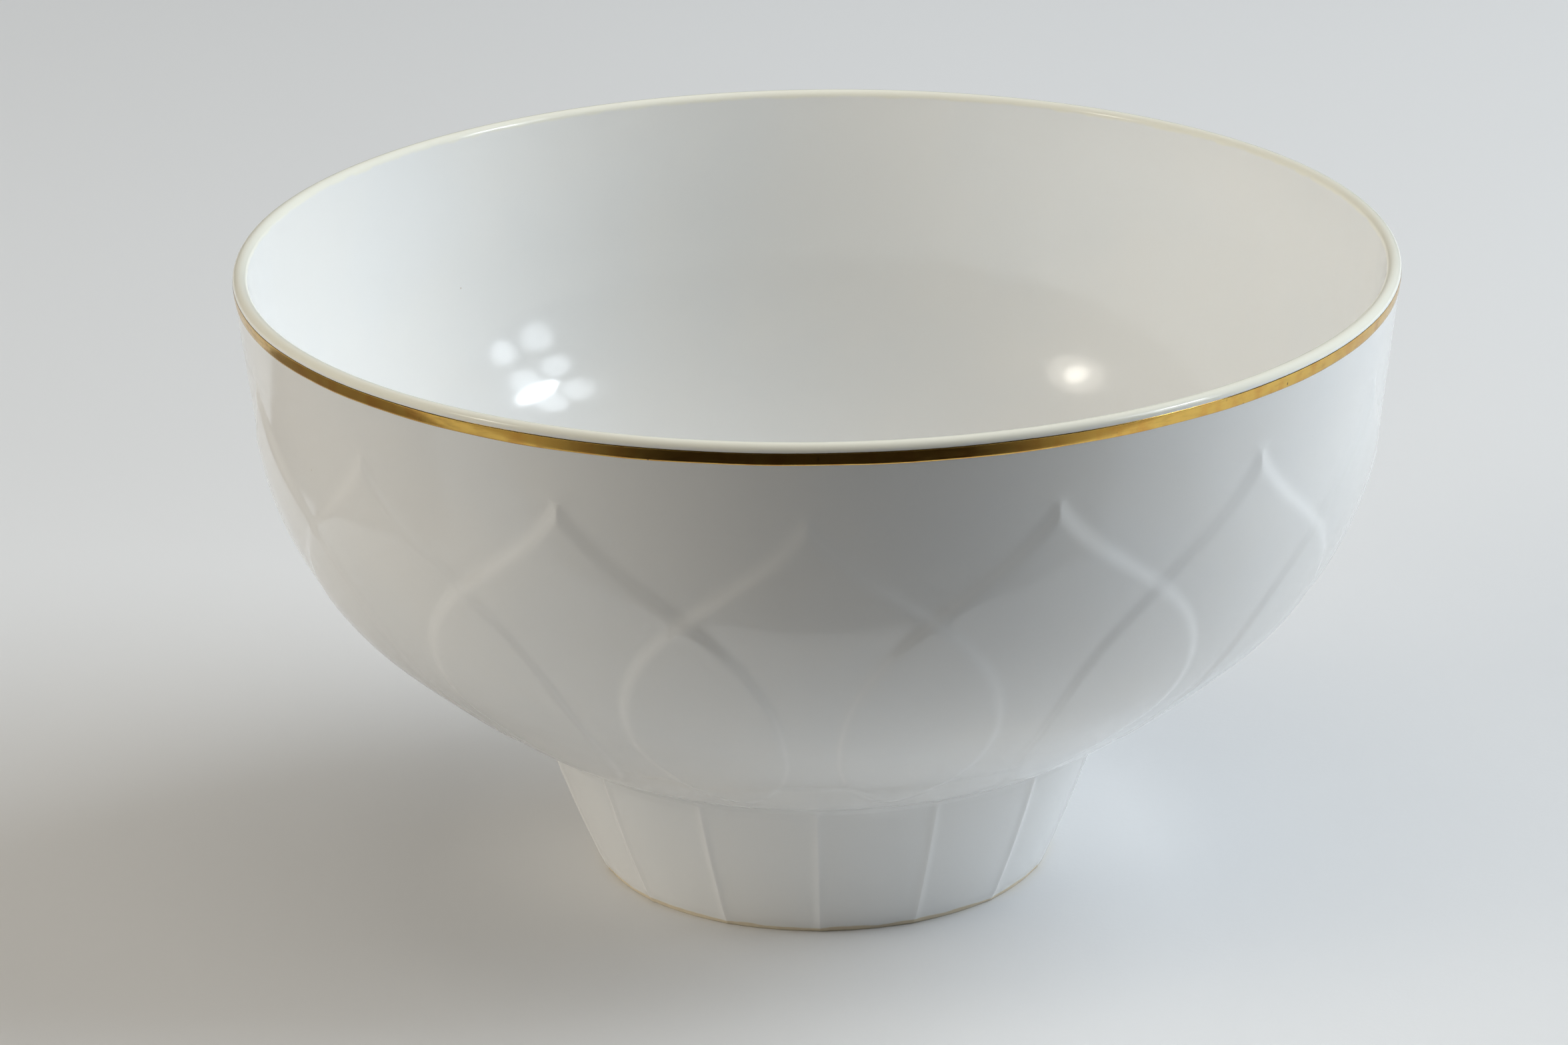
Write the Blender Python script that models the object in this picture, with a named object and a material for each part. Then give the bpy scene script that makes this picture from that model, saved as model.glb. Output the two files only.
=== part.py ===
"""Porcelain serving bowl with a tall foot ring, carved lotus petals and a gold line.

Four pieces share one axis, +Z, with the table at z = 0: the thrown bowl body, the foot ring that
is made apart, the slip that joins the two, and the gold line fired on below the lip.
Azimuths run from -Y towards +X. Petal tips and foot ribs share the azimuths k * 24 degrees.
"""

import math

import bmesh
import bpy
import numpy as np
from mathutils import Vector
from mathutils.geometry import interpolate_bezier

MM = 0.001

# Driving dimensions, in millimetres.
RIM_RADIUS = 110.0
HEIGHT = 121.1
LIP_THICKNESS = 2.8
FIT_GAP = 0.3

FOOT_BASE_RADIUS = 43.4
FOOT_TOP_RADIUS = 54.6
FOOT_BOW = 0.5
FOOT_WALL = 3.9
FOOT_EDGE_ROUND = 0.5
RIB_HEIGHT = 0.4
PANEL_HOLLOW = 0.15

UNDERSIDE_Z = 30.2
SLIP_THICKNESS = 0.6
SLIP_INSET = 0.3

GOLD_WIDTH = 2.3
GOLD_THICKNESS = 0.3

# The wall's outer section as (radius, height): a soft shoulder, then a nearly upright wall.
WALL_FOOT = (55.5, UNDERSIDE_Z)
SHOULDER = (91.1, 56.6)
WALL_BEND = (107.15, 95.0)
BELLY_HANDLES = ((62.0, UNDERSIDE_Z), (89.9, 54.8))
SHOULDER_HANDLES = ((97.0, 64.5), (104.4, 73.3))

# The inside follows the wall at a thickness given as (height on the outer wall, thickness), then
# runs level across the floor.
THICKNESS = ((UNDERSIDE_Z, 4.8), (56.6, 3.8), (95.0, 3.1), (119.7, 2.8))
FLOOR_Z = 34.4
FLOOR_RADII = (46.0, 24.0)

# Petals: outline as (degrees from the petal's middle, height), tip first.
PETALS = 15
SECTOR = 360.0 / PETALS
PETAL_TIP_Z = 105.5
PETAL_WIDEST = (21.3, 54.0)
PETAL_BASE = (SECTOR / 2, 34.9)
FLANK_HANDLES = ((5.8, 88.4), (21.3, 84.7))
BASE_HANDLES = ((21.3, 38.3), (13.0, 34.9))
PETAL_END_Z = 42.0
STEP_AT_TIP = 0.75
STEP_AT_BASE = 0.4
EDGE_BEVEL = 0.45
EDGE_ROOM = 1.2

# Heights of the rows of facets on the outer wall.
BELLY_ROWS = (31.6, 34.3, 35.3, 37.0, 39.0, 41.6, 42.4)
PETAL_ROWS = (46.0, 50.0, 55.0, 61.0, 67.0, 74.0, 80.5, 86.5, 92.0, 98.0, 104.4, 106.3)
UNDERSIDE_RADII = (28.0, 49.0)
INSIDE_ROWS = (95.0, 83.0, 74.0, 66.5, 60.0, 54.0, 48.0, 42.5, 37.5, 33.5)
LIP_STEPS = 5
EVEN_COLUMNS = 120


# Sections and outlines


def bezier(start, handles, end, steps):
    """Points of a cubic curve from start to end, both included."""
    corners = [Vector((x, y, 0.0)) for x, y in (start, *handles, end)]
    return [(p.x, p.y) for p in interpolate_bezier(*corners, steps + 1)]


def rim_wall_radius(height):
    """The upper wall leans out in a straight line from the bend to the rim."""
    top = HEIGHT - LIP_THICKNESS / 2
    share = (height - WALL_BEND[1]) / (top - WALL_BEND[1])
    return WALL_BEND[0] + share * (RIM_RADIUS - WALL_BEND[0])


BELLY = bezier(WALL_FOOT, BELLY_HANDLES, SHOULDER, 60)
UPPER = bezier(SHOULDER, SHOULDER_HANDLES, WALL_BEND, 60)
OUTER_CURVE = np.array(BELLY + UPPER[1:])

FLANK = bezier((0.0, PETAL_TIP_Z), FLANK_HANDLES, PETAL_WIDEST, 60)
BASE = bezier(PETAL_WIDEST, BASE_HANDLES, PETAL_BASE, 60)
PETAL_OUTLINE = np.array(FLANK + BASE[1:])[::-1]


def wall_radius(height):
    """Radius of the plain outer wall, before the petals are added."""
    if height > WALL_BEND[1]:
        return rim_wall_radius(height)
    return float(np.interp(height, OUTER_CURVE[:, 1], OUTER_CURVE[:, 0]))


def wall_normal(height):
    """Outward normal of the wall section, as (radial, vertical)."""
    reach = 0.2
    low = max(height - reach, UNDERSIDE_Z)
    rise = height + reach - low
    run = wall_radius(height + reach) - wall_radius(low)
    length = math.hypot(rise, run)
    return rise / length, -run / length


def petal_half_width(height):
    """Degrees from a petal's middle to its edge."""
    return float(np.interp(height, PETAL_OUTLINE[:, 1], PETAL_OUTLINE[:, 0]))


def petal_step(height):
    """How far one petal stands off the wall: most at its tip, least at its base."""
    share = (height - PETAL_BASE[1]) / (PETAL_TIP_Z - PETAL_BASE[1])
    return STEP_AT_BASE + share * (STEP_AT_TIP - STEP_AT_BASE)


def petal_columns(height):
    """(azimuth, layers of petal) round the wall, with facet edges along the petal edges.

    Neighbouring petals cross where the half width is half a sector. Above the crossing the wall
    shows between them, and below it they overlap in a drop shape that is two layers thick.
    """
    half = petal_half_width(height)
    overlap = half > SECTOR / 2
    edge = min(half, SECTOR - half)
    edge = min(max(edge, EDGE_ROOM), SECTOR / 2 - EDGE_ROOM)
    on_petal = PETAL_BASE[1] < height < PETAL_TIP_Z
    between = 2 if on_petal and overlap else 0
    middle = 1 if on_petal and height > PETAL_END_Z else 0
    sector = (
        (0.0, middle),
        (edge / 2, middle),
        (edge - EDGE_BEVEL, middle),
        (edge + EDGE_BEVEL, between),
        (SECTOR / 2, between),
        (SECTOR - edge - EDGE_BEVEL, between),
        (SECTOR - edge + EDGE_BEVEL, middle),
        (SECTOR - edge / 2, middle),
    )
    return [(k * SECTOR + a, layers) for k in range(PETALS) for a, layers in sector]


def even_columns():
    return [360.0 * k / EVEN_COLUMNS for k in range(EVEN_COLUMNS)]


# Mesh building


def at(radius, azimuth, height):
    turn = math.radians(azimuth)
    x = radius * math.sin(turn)
    y = -radius * math.cos(turn)
    return Vector((x * MM, y * MM, height * MM))


def plain_ring(radius, height):
    return [at(radius, azimuth, height) for azimuth in even_columns()]


def petal_ring(height):
    """One row of the outer wall, lifted along its normal by the petals it crosses."""
    out, up = wall_normal(height)
    ring = []
    for azimuth, layers in petal_columns(height):
        lift = layers * petal_step(height)
        ring.append(at(wall_radius(height) + lift * out, azimuth, height + lift * up))
    return ring


def skin(name, rings, material, poles=None):
    """Join rings of points with faces. Rings run up the outside, and the piece is closed either
    by joining the last ring to the first or by a pole point at each end."""
    mesh = bmesh.new()
    rows = [[mesh.verts.new(point) for point in ring] for ring in rings]
    pairs = list(zip(rows, rows[1:]))
    if poles is None:
        pairs.append((rows[-1], rows[0]))
    count = len(rows[0])
    for low, high in pairs:
        for j in range(count):
            k = (j + 1) % count
            mesh.faces.new((low[j], low[k], high[k], high[j]))
    if poles is not None:
        first = mesh.verts.new(poles[0])
        last = mesh.verts.new(poles[1])
        for j in range(count):
            k = (j + 1) % count
            mesh.faces.new((first, rows[0][k], rows[0][j]))
            mesh.faces.new((rows[-1][j], rows[-1][k], last))
    data = bpy.data.meshes.new(name)
    mesh.to_mesh(data)
    mesh.free()
    return add_object(name, data, material)


def turned(name, section, material):
    """A ring turned round +Z by a Screw modifier from a section that runs down its outer side."""
    mesh = bmesh.new()
    corners = [mesh.verts.new((radius * MM, 0.0, height * MM)) for radius, height in section]
    for a, b in zip(corners, corners[1:] + corners[:1]):
        mesh.edges.new((a, b))
    data = bpy.data.meshes.new(name)
    mesh.to_mesh(data)
    mesh.free()
    ring = add_object(name, data, material)
    screw = ring.modifiers.new("turn", "SCREW")
    screw.axis = "Z"
    screw.steps = EVEN_COLUMNS
    screw.render_steps = EVEN_COLUMNS
    screw.use_merge_vertices = True
    screw.merge_threshold = 0.00001
    return ring


def add_object(name, data, material):
    data.materials.append(material)
    data.shade_smooth()
    data.set_sharp_from_angle(angle=math.radians(40.0))
    piece = bpy.data.objects.new(name, data)
    bpy.context.scene.collection.objects.link(piece)
    piece.parent = bpy.data.objects["bowl_axis"]
    return piece


def make_material(name, colour, roughness, metallic=0.0):
    material = bpy.data.materials.new(name)
    material.use_nodes = True
    shader = material.node_tree.nodes["Principled BSDF"]
    shader.inputs["Base Color"].default_value = (*colour, 1.0)
    shader.inputs["Roughness"].default_value = roughness
    shader.inputs["Metallic"].default_value = metallic
    return material


# Pieces


def gold_band_heights():
    """The gold line's lower and upper edge, close below the round of the lip."""
    top = HEIGHT - LIP_THICKNESS / 2 - FIT_GAP
    return top - GOLD_WIDTH, top


def groove_rings():
    """The shallow recess that the gold line lies in. The lip starts at its upper edge."""
    low, high = gold_band_heights()
    depth = GOLD_THICKNESS + FIT_GAP
    corners = ((low - FIT_GAP, 0.0), (low - FIT_GAP, depth), (high + FIT_GAP, depth))
    return [plain_ring(rim_wall_radius(z) - inset, z) for z, inset in corners]


def lip_rings():
    """A half-round lip, from the outer wall over the top to the inner wall."""
    half = LIP_THICKNESS / 2
    rings = []
    for step in range(LIP_STEPS + 1):
        turn = math.pi * step / LIP_STEPS
        radius = RIM_RADIUS - half + half * math.cos(turn)
        rings.append(plain_ring(radius, HEIGHT - half + half * math.sin(turn)))
    return rings


def inside_point(height):
    """(radius, height) on the inside, square across the wall from a height on the outside."""
    heights, sizes = zip(*THICKNESS)
    thickness = float(np.interp(height, heights, sizes))
    out, up = wall_normal(height)
    return wall_radius(height) - thickness * out, height - thickness * up


def inner_rings():
    """The smooth inside, from the bend below the lip to the floor."""
    section = [inside_point(height) for height in INSIDE_ROWS]
    section += [(radius, FLOOR_Z) for radius in FLOOR_RADII]
    return [plain_ring(radius, height) for radius, height in section]


def bowl_body(material):
    underside = [plain_ring(radius, UNDERSIDE_Z) for radius in UNDERSIDE_RADII]
    wall = [petal_ring(height) for height in BELLY_ROWS + PETAL_ROWS]
    outside = underside + [plain_ring(*WALL_FOOT)] + wall + groove_rings()
    poles = (at(0.0, 0.0, UNDERSIDE_Z), at(0.0, 0.0, FLOOR_Z))
    return skin("bowl_body", outside + lip_rings() + inner_rings(), material, poles)


def foot_height():
    """Top of the foot ring, which leaves room for the slip below the bowl."""
    return UNDERSIDE_Z - SLIP_THICKNESS - 2 * FIT_GAP


def foot_radius(height):
    """The foot widens upwards with a slight outward bow."""
    share = height / foot_height()
    widening = share * (FOOT_TOP_RADIUS - FOOT_BASE_RADIUS)
    return FOOT_BASE_RADIUS + widening + 4 * FOOT_BOW * share * (1 - share)


def rib_columns():
    """(azimuth, lift) round the foot: a raised rib under each petal tip, hollow panels between."""
    sector = (
        (0.0, RIB_HEIGHT),
        (0.45, RIB_HEIGHT * 0.7),
        (1.1, 0.0),
        (6.5, -PANEL_HOLLOW * 0.8),
        (12.0, -PANEL_HOLLOW),
        (17.5, -PANEL_HOLLOW * 0.8),
        (22.9, 0.0),
        (23.55, RIB_HEIGHT * 0.7),
    )
    return [(k * SECTOR + a, lift) for k in range(PETALS) for a, lift in sector]


def foot_ring(material):
    columns = rib_columns()
    top = foot_height()
    edge = FOOT_EDGE_ROUND
    rings = []
    for inset, height in ((edge, 0.0), (0.0, edge), *((0.0, top * k / 4) for k in (1, 2, 3, 4))):
        radius = foot_radius(height) - inset
        rings.append([at(radius + lift, azimuth, height) for azimuth, lift in columns])
    for height in (top, top / 2, edge):
        radius = foot_radius(height) - FOOT_WALL
        rings.append([at(radius, azimuth, height) for azimuth, _ in columns])
    radius = FOOT_BASE_RADIUS - FOOT_WALL + edge
    rings.append([at(radius, azimuth, 0.0) for azimuth, _ in columns])
    return skin("foot_ring", rings, material)


def slip_joint(material):
    """The bead of slip between the foot's top edge and the underside of the bowl."""
    low = foot_height() + FIT_GAP
    high = low + SLIP_THICKNESS
    outer = FOOT_TOP_RADIUS - SLIP_INSET
    inner = FOOT_TOP_RADIUS - FOOT_WALL + SLIP_INSET
    swell = (outer + 0.25, (low + high) / 2)
    section = ((outer, high), swell, (outer, low), (inner, low), (inner, high))
    return turned("slip_joint", section, material)


def gold_line(material):
    """The gold line, flush with the wall that leans out below the lip."""
    low, high = gold_band_heights()
    outer_high = rim_wall_radius(high)
    outer_low = rim_wall_radius(low)
    section = (
        (outer_high, high),
        (outer_low, low),
        (outer_low - GOLD_THICKNESS, low),
        (outer_high - GOLD_THICKNESS, high),
    )
    return turned("gold_line", section, material)


def clear_scene():
    for old in list(bpy.data.objects):
        bpy.data.objects.remove(old, do_unlink=True)


def main():
    clear_scene()
    axis = bpy.data.objects.new("bowl_axis", None)
    bpy.context.scene.collection.objects.link(axis)
    bowl_body(make_material("bowl_porcelain", (0.83, 0.83, 0.80), 0.12))
    foot_ring(make_material("foot_porcelain", (0.82, 0.82, 0.79), 0.14))
    slip_joint(make_material("slip_porcelain", (0.80, 0.79, 0.75), 0.3))
    gold_line(make_material("fired_gold", (0.72, 0.50, 0.20), 0.22, 1.0))


main()
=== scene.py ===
"""Looks of the porcelain serving bowl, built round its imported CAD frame.

Fine turned and carved meshes stand for the faceted CAD solids: the petals and ribs are geometry, the
glaze, bare foot edge and fired gold are procedural materials. Lengths are in millimetres until mesh
points are made. Azimuths run from -Y towards +X, and petal tips and ribs lie at k * 24 degrees.
"""

import math

import bpy
import numpy as np
from mathutils import Matrix, Vector
from mathutils.geometry import interpolate_bezier


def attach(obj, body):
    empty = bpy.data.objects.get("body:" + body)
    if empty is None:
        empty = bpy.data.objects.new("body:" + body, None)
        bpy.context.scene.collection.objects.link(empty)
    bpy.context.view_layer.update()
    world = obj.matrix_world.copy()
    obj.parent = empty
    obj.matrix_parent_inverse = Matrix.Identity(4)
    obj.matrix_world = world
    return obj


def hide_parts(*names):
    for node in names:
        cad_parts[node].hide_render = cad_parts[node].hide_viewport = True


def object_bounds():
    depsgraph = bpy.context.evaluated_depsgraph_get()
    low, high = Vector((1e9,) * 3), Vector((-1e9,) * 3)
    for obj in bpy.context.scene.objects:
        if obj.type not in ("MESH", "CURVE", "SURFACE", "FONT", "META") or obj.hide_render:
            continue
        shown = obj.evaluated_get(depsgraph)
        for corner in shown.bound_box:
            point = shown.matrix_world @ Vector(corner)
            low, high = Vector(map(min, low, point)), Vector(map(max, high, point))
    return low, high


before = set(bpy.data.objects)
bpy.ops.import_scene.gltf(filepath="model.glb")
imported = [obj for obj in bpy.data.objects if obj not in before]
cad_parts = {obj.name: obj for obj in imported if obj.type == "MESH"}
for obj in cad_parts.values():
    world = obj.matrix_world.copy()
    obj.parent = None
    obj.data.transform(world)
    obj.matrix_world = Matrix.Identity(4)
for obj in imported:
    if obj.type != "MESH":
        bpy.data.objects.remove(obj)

MM = 0.001

# Driving dimensions: the CAD frame's own, apart from a softer shoulder, by at most 0.15 mm, a
# slightly different petal outline, and other relief heights on the petals and the foot.
LIP_THICKNESS = 2.8
UNDERSIDE_Z = 30.2
FOOT_BASE_RADIUS = 43.4
FOOT_TOP_RADIUS = 54.6
FOOT_TOP_Z = 29.0
FOOT_BOW = 0.5
FOOT_WALL = 3.9
FOOT_EDGE_ROUND = 0.6

WALL_FOOT = (55.5, UNDERSIDE_Z)
SHOULDER = (88.15, 53.75)
WALL_BEND = (107.15, 95.0)
BELLY_HANDLES = ((61.2, UNDERSIDE_Z), (83.35, 49.15))
SHOULDER_HANDLES = ((96.8, 61.95), (104.9, 75.7))
THICKNESS = ((UNDERSIDE_Z, 4.8), (56.6, 3.8), (95.0, 3.1), (119.7, 2.8))
FLOOR_Z = 34.4

# The gold line's edges, measured down from the rim.
GOLD_DROP = 1.5
GOLD_WIDTH = 2.45
GOLD_FILM = 0.05

# The gold film's crown: (share of its width, height over the glaze in films).
GOLD_CROWN = (
    (0.0, -1.0),
    (0.02, 0.6),
    (0.12, 1.2),
    (0.35, 1.6),
    (0.65, 1.6),
    (0.88, 1.2),
    (0.98, 0.6),
    (1.0, -1.0),
)

PETALS = 15
SECTOR = 360.0 / PETALS
PETAL_TIP_Z = 105.5
PETAL_WIDEST = (20.95, 54.0)
PETAL_BASE = (SECTOR / 2, 34.9)
FLANK_HANDLES = ((5.8, 88.4), (20.95, 84.7))
BASE_HANDLES = ((20.95, 40.0), (14.5, 35.0))
PETAL_END_Z = 42.0

# Height of one petal layer over the next.
STEP_AT_TIP = 0.62
STEP_AT_BASE = 0.1

# Width of the soft step at a petal's edge, across the edge.
EDGE_AT_TIP = 4.6
EDGE_AT_BASE = 1.9
END_WIDTH = 4.5

# The front petal is shallower towards its tip: by how much, how far round, and from where up.
FRONT_SOFTENING = 0.45
SOFTENED_SPREAD = 12.0
SOFTENED_FROM_Z = 80.0
SOFTENED_OVER = 25.0

# Half width of the pale line along an edge, partly thin glaze and partly a painted highlight, and where
# it fades upwards.
CREST_WIDTH = 0.45
CREST_LEAST = 0.25
CREST_FADE_TOP = 75.0
CREST_FADE_OVER = 20.0

# Ribs swell a little right under the bowl, and the panels between them are hollow.
RIB_HEIGHT = 0.26
RIB_WIDTH = 0.85
RIB_TOP_Z = 29.3
RIB_SWELL = 0.25
RIB_SWELL_Z = 28.7
RIB_SWELL_REACH = 0.7
RIB_SHARE_AT_BASE = 0.6
# The rib's pale line: thin glaze and a painted highlight.
RIB_CREST = 0.6
PANEL_HOLLOW = 0.2
PANEL_TOP_Z = 28.6

# Mesh density.
SECTOR_COLUMNS = 40
PLAIN_SHARE = 3
FOOT_COLUMNS = 32
GOLD_COLUMNS = 480
EDGE_CROWDING = 5.0
EDGE_SPREAD = 1.3
RIB_CROWDING = 6.0
RIB_SPREAD = 1.2


# Sections


def bezier(start, handles, end, steps):
    """Points of a cubic curve from start to end, both included."""
    corners = [Vector((x, y, 0.0)) for x, y in (start, *handles, end)]
    return [(p.x, p.y) for p in interpolate_bezier(*corners, steps + 1)]


class Section:
    """The bowl's turned section: plain outer wall, lip and inside."""

    def __init__(self, rim_radius, height):
        self.rim_radius = rim_radius
        self.height = height
        belly = bezier(WALL_FOOT, BELLY_HANDLES, SHOULDER, 200)
        upper = bezier(SHOULDER, SHOULDER_HANDLES, WALL_BEND, 200)
        lip_start = (rim_radius, height - LIP_THICKNESS / 2)
        self.curve = np.array(belly + upper[1:] + [lip_start])
        steps = np.linalg.norm(np.diff(self.curve, axis=0), axis=1)
        self.along = np.concatenate([[0.0], np.cumsum(steps)])

    def radius(self, z):
        return np.interp(z, self.curve[:, 1], self.curve[:, 0])

    def run(self, z):
        """Length along the section from the foot to height z."""
        return np.interp(z, self.curve[:, 1], self.along)

    def normal(self, z):
        """Outward normal at height z as arrays (radial, vertical)."""
        reach = 0.3
        low = np.maximum(z - reach, UNDERSIDE_Z)
        rise = z + reach - low
        run = self.radius(z + reach) - self.radius(low)
        length = np.hypot(rise, run)
        return rise / length, -run / length

    def inside(self, z):
        """(radius, height) on the inside, square across the wall from outside height z."""
        heights, sizes = zip(*THICKNESS)
        thickness = np.interp(z, heights, sizes)
        out, up = self.normal(z)
        return self.radius(z) - thickness * out, z - thickness * up


# Petal relief


def smooth_step(x):
    x = np.clip(x, 0.0, 1.0)
    return x * x * (3.0 - 2.0 * x)


def petal_outline():
    """(degrees from the petal's middle, height) from tip to base, fine enough to measure from."""
    flank = bezier((0.0, PETAL_TIP_Z), FLANK_HANDLES, PETAL_WIDEST, 150)
    base = bezier(PETAL_WIDEST, BASE_HANDLES, PETAL_BASE, 80)
    return np.array(flank + base[1:])


def inside_distance(section, outline, azimuth, z):
    """Signed distance over the surface to one petal's outline, positive inside the petal."""
    radius = section.radius(z)
    across = np.radians(outline[None, :, 0] - np.abs(azimuth)[:, None]) * radius[:, None]
    along = (section.run(outline[:, 1])[None, :] - section.run(z)[:, None])
    start = np.stack([across[:, :-1], along[:, :-1]], -1)
    edge = np.stack([np.diff(across, axis=1), np.diff(along, axis=1)], -1)
    share = -(start * edge).sum(-1) / np.maximum((edge * edge).sum(-1), 1e-12)
    nearest = start + np.clip(share, 0.0, 1.0)[..., None] * edge
    distance = np.sqrt((nearest * nearest).sum(-1).min(1))
    half_width = np.interp(z, outline[::-1, 1], outline[::-1, 0], left=0.0, right=0.0)
    return np.where(np.abs(azimuth) < half_width, distance, -distance)


def relief(section, outline, azimuth, z):
    """Height of the petal relief, and its edge's pale line (0 to 1): thin glaze and painted highlight.
    """
    share = np.clip((z - PETAL_BASE[1]) / (PETAL_TIP_Z - PETAL_BASE[1]), 0.0, 1.0)
    step = STEP_AT_BASE + share * (STEP_AT_TIP - STEP_AT_BASE)
    width = EDGE_AT_BASE + share * (EDGE_AT_TIP - EDGE_AT_BASE)
    here = inside_distance(section, outline, azimuth, z)
    beside = inside_distance(section, outline, azimuth - SECTOR, z)
    petal = smooth_step(here / width + 0.5)
    neighbour = smooth_step(beside / width + 0.5)
    body = smooth_step((section.run(z) - section.run(PETAL_END_Z)) / END_WIDTH + 0.5)
    layers = body * (petal + neighbour) + (1.0 - body) * 2.0 * petal * neighbour
    # The pale edge line, partly thin glaze and partly a painted highlight, fading upwards.
    crest = np.exp(-((np.minimum(np.abs(here), np.abs(beside)) / CREST_WIDTH) ** 2))
    crest *= CREST_LEAST + (1.0 - CREST_LEAST) * smooth_step((CREST_FADE_TOP - z) / CREST_FADE_OVER)
    return step * layers, crest


def crowded_columns(edges, spread, gain, count):
    """Azimuths across a sector, crowded where its edges run."""
    fine = np.linspace(0.0, SECTOR, 481)
    density = np.ones_like(fine)
    for edge in edges:
        density += gain * np.exp(-(((fine - edge) / spread) ** 2))
    filled = np.concatenate([[0.0], np.cumsum((density[1:] + density[:-1]) / 2)])
    return np.interp(np.arange(count) / count * filled[-1], filled, fine)


def wall_heights():
    """Rows of the relief, close together where petal edges run level."""
    spans = (
        (UNDERSIDE_Z, 34.0, 0.75),
        (34.0, 43.4, 0.3),
        (43.4, 80.0, 1.0),
        (80.0, 93.0, 0.65),
        (93.0, 103.0, 0.65),
        (103.0, 106.6, 0.26),
    )
    rows = []
    for low, high, gap in spans:
        rows += list(np.arange(low, high - gap / 2, gap))
    return np.array(rows + [spans[-1][1]])


def softened(azimuth, z):
    """Share of the relief that's left: the front petal is shallower towards its tip."""
    turn = (azimuth + 180.0) % 360.0 - 180.0
    near_front = np.exp(-((turn / SOFTENED_SPREAD) ** 2))
    return 1.0 - FRONT_SOFTENING * near_front * smooth_step((z - SOFTENED_FROM_Z) / SOFTENED_OVER)


def relief_rows(section):
    """Points of the carved wall, one row of a whole turn for each height."""
    outline = petal_outline()
    rows = []
    for z in wall_heights():
        half = float(np.interp(z, outline[::-1, 1], outline[::-1, 0], left=SECTOR / 2, right=0.0))
        edge = min(half, SECTOR - half)
        gain = EDGE_CROWDING * float(smooth_step((z - 43.0) / 10.0))
        azimuth = crowded_columns((edge, SECTOR - edge), EDGE_SPREAD, gain, SECTOR_COLUMNS)
        heights = np.full_like(azimuth, z)
        lift, crest = relief(section, outline, azimuth, heights)
        out, up = section.normal(heights)
        turns = (np.arange(PETALS)[:, None] * SECTOR + azimuth[None, :]).ravel()
        lift = np.tile(lift, PETALS) * softened(turns, z)
        radius = section.radius(z) + lift * out[0]
        rows.append(row(turns, radius, z + lift * up[0], np.tile(crest, PETALS)))
    return rows


# Mesh building


def row(azimuth, radius, z, crest=0.0):
    """Points on a ring, as columns x, y, z in metres and crest: thin glaze and painted highlight (0 to
    1).
    """
    angle = np.radians(azimuth)
    x = radius * np.sin(angle) * MM
    y = -radius * np.cos(angle) * MM
    return np.stack(np.broadcast_arrays(x, y, z * MM, crest), 1)


def whole_turn(azimuth, radius, z, crest):
    """Repeat one sector's points round the axis."""
    turns = np.arange(PETALS)[:, None] * SECTOR
    repeat = [np.tile(values, PETALS) for values in (radius, z, crest)]
    return row((turns + azimuth[None, :]).ravel(), *repeat)


def plain_row(radius, z, count):
    return row(np.arange(count) * 360.0 / count, radius, z)


def skin(name, rows, poles=None):
    """A closed smooth mesh from rows of points running up the outside, over and down the inside.

    Where a row has fewer points than its neighbour, each of its spans meets several of the other's.
    """
    points = np.concatenate(rows)
    starts = np.concatenate([[0], np.cumsum([len(row) for row in rows])])
    faces = []
    pairs = [(i, i + 1) for i in range(len(rows) - 1)]
    if poles is None:
        pairs.append((len(rows) - 1, 0))
    for i, k in pairs:
        faces += band(starts[i], len(rows[i]), starts[k], len(rows[k]))
    if poles is not None:
        first = len(points)
        ends = np.column_stack([np.array(poles) * MM, np.zeros(2)])
        points = np.concatenate([points, ends])
        low, high = len(rows[0]), len(rows[-1])
        faces += [(first, starts[0] + (j + 1) % low, starts[0] + j) for j in range(low)]
        end = starts[-2]
        faces += [(end + j, end + (j + 1) % high, first + 1) for j in range(high)]
    mesh = bpy.data.meshes.new(name)
    mesh.from_pydata(points[:, :3].tolist(), [], [[int(v) for v in face] for face in faces])
    mesh.shade_smooth()
    crest = mesh.attributes.new("crest", "FLOAT", "POINT")
    crest.data.foreach_set("value", points[:, 3])
    piece = bpy.data.objects.new(name, mesh)
    bpy.context.scene.collection.objects.link(piece)
    return piece


def band(low, low_count, high, high_count):
    """Faces between two rows that start at vertices low and high."""
    spans = min(low_count, high_count)
    low_step = low_count // spans
    high_step = high_count // spans
    faces = []
    for j in range(spans):
        under = [low + (j * low_step + k) % low_count for k in range(low_step + 1)]
        over = [high + (j * high_step + k) % high_count for k in range(high_step + 1)]
        faces.append(under + over[::-1])
    return faces


# Pieces


def bowl_rows(section):
    """Rows from the underside's middle, up the wall, over the lip and down to the floor."""
    plain = SECTOR_COLUMNS * PETALS // PLAIN_SHARE
    underside = [plain_row(r, UNDERSIDE_Z, plain) for r in (10.0, 25.0, 40.0, 50.0, 54.0)]
    wall = relief_rows(section)
    upper = [plain_row(section.radius(z), z, plain) for z in (108.5, 111.0, 114.0, 117.0)]
    half = LIP_THICKNESS / 2
    lip = []
    for turn in np.linspace(0.0, math.pi, 13):
        radius = section.rim_radius - half + half * math.cos(turn)
        lip.append(plain_row(radius, section.height - half + half * math.sin(turn), plain))
    inside = []
    for z in np.concatenate([np.linspace(116.5, 95.0, 6), np.linspace(92.0, 33.0, 34)]):
        radius, height = section.inside(z)
        inside.append(plain_row(radius, height, plain))
    last_radius, last_height = section.inside(33.0)
    floor = bezier((last_radius, last_height), floor_handles(section), (0.0, FLOOR_Z), 12)
    inside += [plain_row(radius, height, plain) for radius, height in floor[1:-1]]
    return underside + wall + upper + lip + inside


def floor_handles(section):
    """Handles that lead the inside smoothly from the belly on to the level floor."""
    radius, height = section.inside(33.0)
    before_radius, before_height = section.inside(34.0)
    slope = (before_height - height) / (before_radius - radius)
    run = (height - FLOOR_Z) / slope * 1.6
    return (radius - run * 0.5, height - run * 0.5 * slope), (radius * 0.45, FLOOR_Z)


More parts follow.
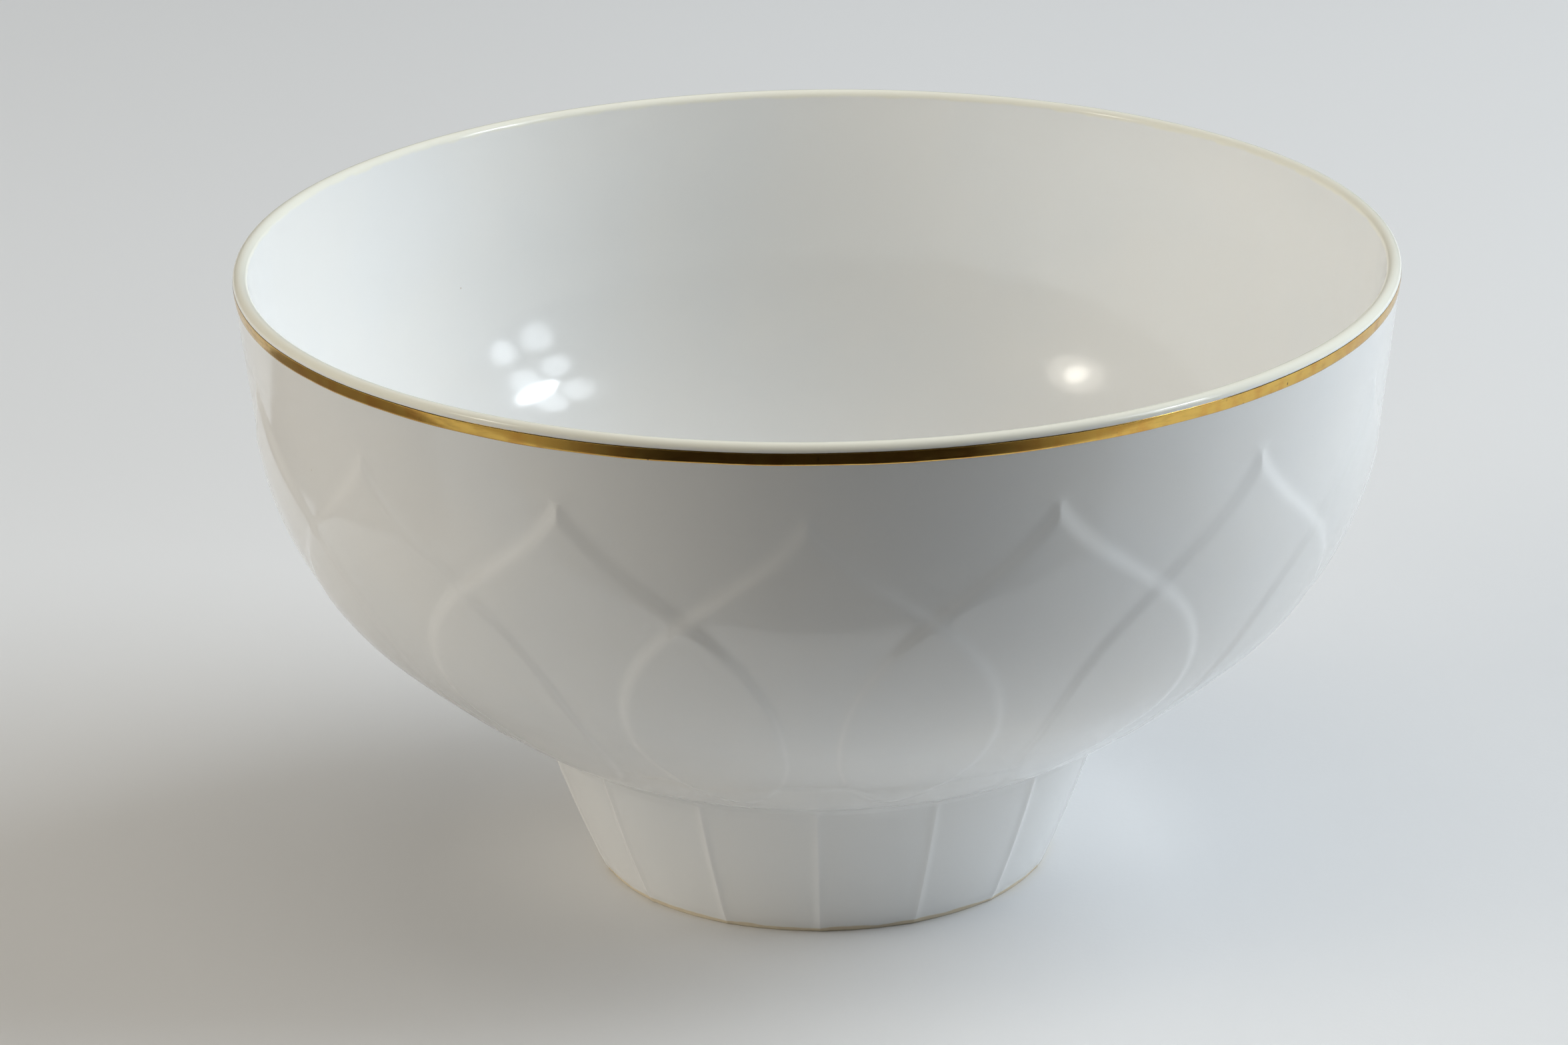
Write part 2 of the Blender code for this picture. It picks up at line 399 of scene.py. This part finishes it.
def bowl(section):
    poles = ((0.0, 0.0, UNDERSIDE_Z), (0.0, 0.0, FLOOR_Z))
    return skin("porcelain_bowl", bowl_rows(section), poles)


def foot_radius(z):
    share = z / FOOT_TOP_Z
    bow = 4 * FOOT_BOW * share * (1 - share)
    return FOOT_BASE_RADIUS + share * (FOOT_TOP_RADIUS - FOOT_BASE_RADIUS) + bow


def foot_lift(azimuth, radius, z):
    """Raised ribs under the petal tips, slightly hollow panels between them, and a pale rib line of thin
    glaze and painted highlight.
    """
    from_rib = np.minimum(azimuth, SECTOR - azimuth)
    across = np.radians(from_rib) * radius
    swell = 1.0 + RIB_SWELL * np.exp(-(((z - RIB_SWELL_Z) / RIB_SWELL_REACH) ** 2))
    taper = RIB_SHARE_AT_BASE + (1.0 - RIB_SHARE_AT_BASE) * z / FOOT_TOP_Z
    height = RIB_HEIGHT * taper * swell * smooth_step((RIB_TOP_Z + 0.4 - z) / 0.9)
    ridge = np.exp(-((across / (RIB_WIDTH * swell)) ** 2))
    dip = np.sin(np.pi * azimuth / SECTOR) ** 0.6
    hollow = PANEL_HOLLOW * smooth_step((PANEL_TOP_Z - z) / 2.0) * dip
    return height * ridge - hollow, RIB_CREST * ridge


def foot_rows():
    azimuth = crowded_columns((0.0, SECTOR), RIB_SPREAD, RIB_CROWDING, FOOT_COLUMNS)
    inner = foot_radius(0.0) - FOOT_WALL
    edge = FOOT_EDGE_ROUND
    rows = []

    def ring(radius, z, relief_share):
        lift, crest = foot_lift(azimuth, radius, z)
        wide = np.broadcast_to(radius, azimuth.shape)
        level = np.full_like(azimuth, z)
        rows.append(whole_turn(azimuth, wide + lift * relief_share, level, crest * relief_share))

    for turn in np.linspace(0.0, math.pi / 2, 5):
        radius = foot_radius(0.0) - edge + edge * math.sin(turn)
        ring(radius, edge - edge * math.cos(turn), math.sin(turn))
    for z in np.concatenate([np.linspace(edge, 24.0, 20)[1:], np.linspace(24.4, FOOT_TOP_Z, 13)]):
        ring(foot_radius(z), z, 1.0)
    for z in np.linspace(FOOT_TOP_Z, edge, 14):
        ring(foot_radius(z) - FOOT_WALL, z, 0.0)
    for turn in np.linspace(0.0, math.pi / 2, 5)[1:]:
        ring(inner + edge - edge * math.cos(turn), edge - edge * math.sin(turn), 0.0)
    return rows


def foot():
    return skin("ribbed_foot", foot_rows())


def slip():
    """A smoothed bead that carries the foot's face on into the bowl, with a tight inside corner."""
    azimuth = crowded_columns((0.0, SECTOR), RIB_SPREAD, RIB_CROWDING, FOOT_COLUMNS)
    face = [(foot_radius(z) + proud, z) for z, proud in ((28.0, -0.2), (28.4, 0.0), (28.8, 0.03))]
    corner = bezier((55.0, 29.2), ((55.35, 30.0), (55.9, 30.25)), (58.6, 30.95), 8)
    back = [(59.0, 31.6), (57.5, 31.2), (52.0, 30.8), (51.2, 30.2), (50.4, 28.0), (51.6, 27.4)]
    rows = []
    for radius, z in face + corner:
        lift, crest = foot_lift(azimuth, radius, z)
        fade = smooth_step((30.0 - z) / 0.8)
        rows.append(whole_turn(azimuth, radius + lift * fade, np.full_like(azimuth, z), crest * fade))
    level = np.zeros_like(azimuth)
    return skin("slip_bead", rows + [whole_turn(azimuth, level + r, level + z, level) for r, z in back])


def gold(section):
    """The fired line: a film just proud of the glaze, with slightly uneven brushed edges."""
    azimuth = np.arange(GOLD_COLUMNS) * 360.0 / GOLD_COLUMNS
    angle = np.radians(azimuth)
    high = section.height - GOLD_DROP + 0.03 * np.sin(7 * angle + 1.0) + 0.02 * np.sin(23 * angle)
    low = section.height - GOLD_DROP - GOLD_WIDTH
    low = low + 0.05 * np.sin(9 * angle + 2.0) + 0.03 * np.sin(31 * angle + 0.5)
    rows = []
    for share, proud in GOLD_CROWN:
        z = low + share * (high - low)
        rows.append(row(azimuth, section.radius(z) + proud * GOLD_FILM, z))
    piece = skin("gold_film", rows)
    unwrap_band(piece.data, section.rim_radius, len(GOLD_CROWN))
    return piece


def unwrap_band(mesh, radius, rows):
    """UVs in metres round the band and across it, for marks that follow the brush."""
    layer = mesh.uv_layers.new(name="brush")
    for face in mesh.polygons:
        steps = [mesh.loops[i].vertex_index % GOLD_COLUMNS for i in face.loop_indices]
        wraps = max(steps) - min(steps) > GOLD_COLUMNS / 2
        for i, step in zip(face.loop_indices, steps):
            turn = step + (GOLD_COLUMNS if wraps and step < GOLD_COLUMNS / 2 else 0)
            across = (mesh.loops[i].vertex_index // GOLD_COLUMNS) / (rows - 1)
            around = 2 * math.pi * radius * turn / GOLD_COLUMNS
            layer.data[i].uv = (around * MM, across * GOLD_WIDTH * MM)


# Materials


class Surface:
    """One material's node tree, with short calls for the nodes that the finishes share."""

    def __init__(self, name):
        self.material = bpy.data.materials.new(name)
        self.material.use_nodes = True
        self.tree = self.material.node_tree
        self.shader = self.tree.nodes["Principled BSDF"]

    def add(self, kind, inputs=(), **settings):
        node = self.tree.nodes.new(kind)
        for key, value in settings.items():
            setattr(node, key, value)
        for socket, value in dict(inputs).items():
            self.put(node.inputs[socket], value)
        return node

    def put(self, socket, value):
        if isinstance(value, bpy.types.NodeSocket):
            self.tree.links.new(value, socket)
        else:
            socket.default_value = value

    def position(self):
        return self.add("ShaderNodeTexCoord").outputs["Object"]

    def noise(self, where, scale, detail=2.0, roughness=0.5):
        inputs = {"Vector": where, "Scale": scale, "Detail": detail, "Roughness": roughness}
        return self.add("ShaderNodeTexNoise", inputs).outputs["Fac"]

    def spread(self, value, low, high, to_low=0.0, to_high=1.0):
        """Map low..high to to_low..to_high, held at both ends."""
        inputs = {"Value": value, "From Min": low, "From Max": high, "To Min": to_low, "To Max": to_high}
        return self.add("ShaderNodeMapRange", inputs, interpolation_type="SMOOTHSTEP").outputs["Result"]

    def sum(self, first, second, operation="ADD"):
        return self.add("ShaderNodeMath", {0: first, 1: second}, operation=operation).outputs[0]

    def blend(self, share, first, second):
        node = self.add("ShaderNodeMix", data_type="RGBA")
        self.put(node.inputs[0], share)
        for socket, colour in ((node.inputs[6], first), (node.inputs[7], second)):
            self.put(socket, (*colour, 1.0) if isinstance(colour, tuple) else colour)
        return node.outputs[2]

    def blend_value(self, share, first, second):
        return self.add("ShaderNodeMix", {0: share, 2: first, 3: second}, data_type="FLOAT").outputs[0]

    def bump(self, height, depth, after=None):
        inputs = {"Height": height, "Distance": depth, "Strength": 1.0}
        if after is not None:
            inputs["Normal"] = after
        return self.add("ShaderNodeBump", inputs).outputs["Normal"]

    def finish(self, **values):
        for socket, value in values.items():
            self.put(self.shader.inputs[socket.replace("_", " ")], value)
        return self.material


WHITE_BODY = (0.90, 0.895, 0.872)
COOL_BODY = (0.882, 0.886, 0.875)
# Pale line along petal and rib edges: thin glaze and a painted highlight.
THIN_GLAZE_AND_HIGHLIGHT = (0.945, 0.94, 0.925)
IRON_SPECK = (0.42, 0.30, 0.20)
BARE_CLAY = (0.80, 0.71, 0.54)
BARE_EDGE_Z = 0.0009
# The lip's cream is painted light: warm light falling on the lip's top, painted into its colour.
PAINTED_LIP_LIGHT = (0.945, 0.925, 0.81)

# The lip's painted warm light starts this far under its widest line and comes in over this much height.
LIP_LIGHT_DROP = 0.2
LIP_LIGHT_OVER = 0.8


def glaze(name, bare_edge=False, lip_light_from=None):
    """White porcelain under clear glaze: slow drifts of tone, paler crests of thin glaze and painted
    highlight, rare specks, a wavy skin.

    The lip argument is the height, in metres, from which the lip's top is painted cream: painted warm
    light.
    """
    s = Surface(name)
    where = s.position()
    drift = s.spread(s.noise(where, 26.0, 3.0), 0.35, 0.65)
    tone = s.blend(drift, WHITE_BODY, COOL_BODY)
    crest = s.add("ShaderNodeAttribute", attribute_name="crest").outputs["Fac"]
    # Pale edge lines: partly thin glaze, partly a painted highlight.
    patchy = s.spread(s.noise(where, 150.0, 2.0), 0.3, 0.7, 0.6, 1.0)
    tone = s.blend(s.sum(crest, patchy, "MULTIPLY"), tone, THIN_GLAZE_AND_HIGHLIGHT)
    cells = s.add("ShaderNodeTexVoronoi", {"Vector": where, "Scale": 110.0})
    near = s.spread(cells.outputs["Distance"], 0.012, 0.03, 1.0, 0.0)
    tint = s.add("ShaderNodeSeparateColor", {"Color": cells.outputs["Color"]}).outputs["Red"]
    chosen = s.spread(tint, 0.78, 0.82, 0.0, 0.5)
    tone = s.blend(s.sum(near, chosen, "MULTIPLY"), tone, IRON_SPECK)
    height = s.add("ShaderNodeSeparateXYZ", {"Vector": where}).outputs["Z"]
    # Painted warm light: the lip's top is painted cream.
    if lip_light_from is not None:
        wander = s.spread(s.noise(where, 200.0), 0.3, 0.7, -0.0002, 0.0002)
        painted_lip_share = s.spread(s.sum(height, wander), lip_light_from, lip_light_from + LIP_LIGHT_OVER * MM)
        tone = s.blend(painted_lip_share, tone, PAINTED_LIP_LIGHT)
    rough = s.spread(s.noise(where, 60.0, 3.0), 0.3, 0.7, 0.085, 0.125)
    waves = s.bump(s.noise(where, 42.0, 1.0), 0.00022)
    normal = s.bump(s.noise(where, 650.0, 2.0), 0.000005, waves)
    if bare_edge:
        wander = s.spread(s.noise(where, 120.0, 3.0), 0.3, 0.7, -0.00025, 0.00025)
        bare = s.spread(s.sum(height, wander), BARE_EDGE_Z - 0.00015, BARE_EDGE_Z + 0.0002, 1.0, 0.0)
        clay = s.blend(s.noise(where, 500.0, 4.0), BARE_CLAY, (0.72, 0.62, 0.46))
        tone = s.blend(bare, tone, clay)
        rough = s.blend_value(bare, rough, 0.7)
        normal = s.bump(s.sum(bare, s.noise(where, 2500.0, 3.0), "MULTIPLY"), 0.00003, normal)
    return s.finish(Base_Color=tone, Roughness=rough, Normal=normal)


BRIGHT_GOLD = (0.80, 0.52, 0.13)
RED_GOLD = (0.66, 0.30, 0.07)
DARK_GOLD = (0.30, 0.17, 0.07)


def fired_gold():
    """Liquid gold, brushed on and fired: streaks along the line, mottling, redder thin edges, pits."""
    s = Surface("fired_gold")
    uv = s.add("ShaderNodeTexCoord").outputs["UV"]
    along = s.add("ShaderNodeMapping", {"Vector": uv, "Scale": (0.12, 1.0, 1.0)}).outputs["Vector"]
    streaks = s.noise(along, 2200.0, 4.0, 0.6)
    mottle = s.noise(uv, 300.0, 3.0)
    across = s.add("ShaderNodeSeparateXYZ", {"Vector": uv}).outputs["Y"]
    low_edge = s.spread(across, 0.0001, 0.0009, 1.0, 0.0)
    top_edge = s.spread(across, 0.0021, 0.00243, 0.0, 1.0)
    thin = s.sum(low_edge, s.spread(mottle, 0.35, 0.7, 0.35, 1.0), "MULTIPLY")
    tone = s.blend(s.spread(mottle, 0.4, 0.7, 0.0, 0.45), BRIGHT_GOLD, RED_GOLD)
    tone = s.blend(s.spread(thin, 0.0, 0.9, 0.0, 0.75), tone, RED_GOLD)
    tone = s.blend(s.spread(streaks, 0.45, 0.75, 0.0, 0.22), tone, DARK_GOLD)
    # Darker gold towards the line's top edge.
    tone = s.blend(s.spread(top_edge, 0.0, 1.0, 0.0, 0.55), tone, DARK_GOLD)
    cells = s.add("ShaderNodeTexVoronoi", {"Vector": uv, "Scale": 900.0})
    pits = s.spread(cells.outputs["Distance"], 0.08, 0.2, 1.0, 0.0)
    tint = s.add("ShaderNodeSeparateColor", {"Color": cells.outputs["Color"]}).outputs["Red"]
    pits = s.sum(pits, s.spread(tint, 0.9, 0.93), "MULTIPLY")
    tone = s.blend(pits, tone, (0.12, 0.07, 0.04))
    rough = s.spread(streaks, 0.3, 0.7, 0.1, 0.24)
    normal = s.bump(streaks, 0.000003)
    s.shader.inputs["Metallic"].default_value = 1.0
    return s.finish(Base_Color=tone, Roughness=rough, Normal=normal)


# Stage, camera and lights


CAMERA_RANGE = 1160.7
CAMERA_HEIGHT = 491.8
CAMERA_AZIMUTH = 1.2
CAMERA_PAN = -0.34
CAMERA_PITCH = 20.12
CAMERA_ROLL = -0.84
CAMERA_LENS = 148.1


def camera():
    data = bpy.data.cameras.new("camera")
    data.lens = CAMERA_LENS
    data.sensor_width = 36.0
    piece = bpy.data.objects.new("camera", data)
    bpy.context.scene.collection.objects.link(piece)
    azimuth = math.radians(CAMERA_AZIMUTH)
    ahead = Vector((math.sin(azimuth), -math.cos(azimuth), 0.0))
    place = (ahead * CAMERA_RANGE + Vector((0.0, 0.0, CAMERA_HEIGHT))) * MM
    turn = Matrix.Rotation(azimuth - math.radians(CAMERA_PAN), 4, "Z")
    tilt = Matrix.Rotation(math.radians(90.0 - CAMERA_PITCH), 4, "X")
    roll = Matrix.Rotation(math.radians(CAMERA_ROLL), 4, "Z")
    piece.matrix_world = Matrix.Translation(place) @ turn @ tilt @ roll
    bpy.context.scene.camera = piece


def table():
    half = 3.0
    mesh = bpy.data.meshes.new("table")
    corners = [(-half, -half, 0), (half, -half, 0), (half, half, 0), (-half, half, 0)]
    mesh.from_pydata(corners, [], [(0, 1, 2, 3)])
    piece = bpy.data.objects.new("table", mesh)
    bpy.context.scene.collection.objects.link(piece)
    s = Surface("table_top")
    where = s.position()
    tone = s.blend(s.noise(where, 3.0, 3.0), (0.79, 0.785, 0.78), (0.82, 0.82, 0.825))
    normal = s.bump(s.noise(where, 900.0, 2.0), 0.00002)
    s.shader.inputs["Roughness"].default_value = 0.75
    mesh.materials.append(s.finish(Base_Color=tone, Normal=normal))


# Cards lying on the table: their height, and where across them the side tone comes in, as x / y.
CARD_Z = 0.004
CARD_SIDES = (0.4, 1.3)


def card(name, low, high, middle_tone, side_tone, mirrored):
    """A card lying on the table beyond the view, paler to its sides.

    The gold mirrors it, or else it only takes away light that the table would throw up. It's clear
    from below, so the table under it stays lit.
    """
    mesh = bpy.data.meshes.new(name)
    corners = ((low[0], low[1]), (high[0], low[1]), (high[0], high[1]), (low[0], high[1]))
    mesh.from_pydata([(x, y, CARD_Z) for x, y in corners], [], [(0, 1, 2, 3)])
    piece = bpy.data.objects.new(name, mesh)
    bpy.context.scene.collection.objects.link(piece)
    s = Surface(name)
    place = s.add("ShaderNodeSeparateXYZ", {"Vector": s.position()})
    turn = s.sum(s.sum(place.outputs["X"], place.outputs["Y"], "DIVIDE"), 0.0, "ABSOLUTE")
    tone = s.blend(s.spread(turn, *CARD_SIDES), middle_tone, side_tone)
    s.shader.inputs["Roughness"].default_value = 0.9
    below = s.add("ShaderNodeNewGeometry").outputs["Backfacing"]
    mesh.materials.append(s.finish(Base_Color=tone, Alpha=s.sum(1.0, below, "SUBTRACT")))
    piece.visible_camera = False
    piece.visible_shadow = False
    piece.visible_diffuse = not mirrored
    piece.visible_glossy = mirrored


def cards():
    near_black = (0.018, 0.012, 0.008)
    tan = (0.5, 0.45, 0.38)
    brown = (0.26, 0.22, 0.18)
    card("dark_card", (-0.42, -1.6), (0.42, -0.175), near_black, tan, True)
    # The left card is painted shadow: a brown sheet that the gold mirrors where the table lies in shade.
    card("left_shadow_card", (-0.7, -0.11), (-0.225, 0.16), brown, brown, True)
    card("shade_card", (-0.42, -1.6), (0.42, -0.19), (0.04, 0.04, 0.04), (0.1, 0.1, 0.1), False)


LIGHT_DISTANCE = 2.0
LIGHT_AIM = Vector((0.0, 0.0, 0.06))
DAYLIGHT = (0.85, 0.93, 1.0)
LAMPLIGHT = (1.0, 0.95, 0.85)

# (name, azimuth, elevation, size, watts, colour). They light the surfaces and aren't mirrored.
SOFT_LIGHTS = (
    ("daylight", 105, 35, 1.8, 45.0, DAYLIGHT),
    ("room_light", 285, 25, 1.5, 20.0, LAMPLIGHT),
    ("overhead", 0, 85, 1.5, 10.0, LAMPLIGHT),
)

# A window of equal panes, and these: (name, azimuth, elevation, width, height, radiance, colour).
# They're what the glaze and the gold mirror, and light nothing.
MIRRORED_LIGHTS = (
    ("sun", 80, 35, 0.4, 0.15, 40.0, DAYLIGHT),
    ("lamp", 290, 35, 0.15, 0.2, 15.0, LAMPLIGHT),
    ("lamp_shade", 290, 35, 0.5, 0.4, 3.0, LAMPLIGHT),
)
WINDOW_AZIMUTH = 75
WINDOW_ELEVATION = 30
WINDOW_COLUMNS = 2
WINDOW_ROWS = 3
WINDOW_STEP = 10
PANE_WIDTH = 0.25
PANE_RADIANCE = 6.0


def area_light(name, azimuth, elevation, size, watts, colour, shape="RECTANGLE"):
    data = bpy.data.lights.new(name, "AREA")
    data.shape = shape
    data.size, data.size_y = size
    data.energy = watts
    data.color = colour
    piece = bpy.data.objects.new(name, data)
    bpy.context.scene.collection.objects.link(piece)
    turn, lift = math.radians(azimuth), math.radians(elevation)
    level = math.cos(lift)
    away = Vector((math.sin(turn) * level, -math.cos(turn) * level, math.sin(lift)))
    piece.location = LIGHT_AIM + away * LIGHT_DISTANCE
    piece.rotation_mode = "QUATERNION"
    piece.rotation_quaternion = (-away).to_track_quat("-Z", "Y")
    return piece


def mirrored_light(name, azimuth, elevation, width, height, radiance, colour):
    """A round light that the glaze and the gold mirror, and that lights nothing."""
    watts = radiance * math.pi * math.pi * width * height / 4
    piece = area_light(name, azimuth, elevation, (width, height), watts, colour, "ELLIPSE")
    piece.visible_diffuse = False


def window():
    for column in range(WINDOW_COLUMNS):
        azimuth = WINDOW_AZIMUTH + WINDOW_STEP * (column - (WINDOW_COLUMNS - 1) / 2)
        for row in range(WINDOW_ROWS):
            elevation = WINDOW_ELEVATION + WINDOW_STEP * (row - (WINDOW_ROWS - 1) / 2)
            name = f"pane_{column}_{row}"
            mirrored_light(name, azimuth, elevation, PANE_WIDTH, PANE_WIDTH, PANE_RADIANCE, DAYLIGHT)


def lights():
    world = bpy.data.worlds.new("studio")
    bpy.context.scene.world = world
    world.use_nodes = True
    world.node_tree.nodes["Background"].inputs["Color"].default_value = (0.03, 0.03, 0.032, 1.0)
    for name, azimuth, elevation, size, watts, colour in SOFT_LIGHTS:
        light = area_light(name, azimuth, elevation, (size, size), watts, colour)
        light.visible_glossy = False
    window()
    for settings in MIRRORED_LIGHTS:
        mirrored_light(*settings)


def pieces(section):
    """(piece, the CAD node it replaces, slot, material) for every piece."""
    # Height from which the lip's top is painted cream, a painted warm light.
    lip_light_from = (section.height - LIP_THICKNESS / 2 - LIP_LIGHT_DROP) * MM
    return (
        (bowl(section), "bowl_body", "bowl_porcelain", glaze("glazed_bowl", lip_light_from=lip_light_from)),
        (foot(), "foot_ring", "foot_porcelain", glaze("glazed_foot", bare_edge=True)),
        (slip(), "slip_joint", "slip_porcelain", glaze("glazed_slip")),
        (gold(section), "gold_line", "fired_gold", fired_gold()),
    )


cad_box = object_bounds()
rim_radius = (cad_box[1].x - cad_box[0].x) / 2 / MM
rim_height = (cad_box[1].z - cad_box[0].z) / MM
for piece, node, slot, material in pieces(Section(rim_radius, rim_height)):
    piece.data.materials.append(material)
    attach(piece, "root")
    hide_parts(node)
camera()
table()
cards()
lights()
bpy.context.scene.view_settings.view_transform = "Standard"
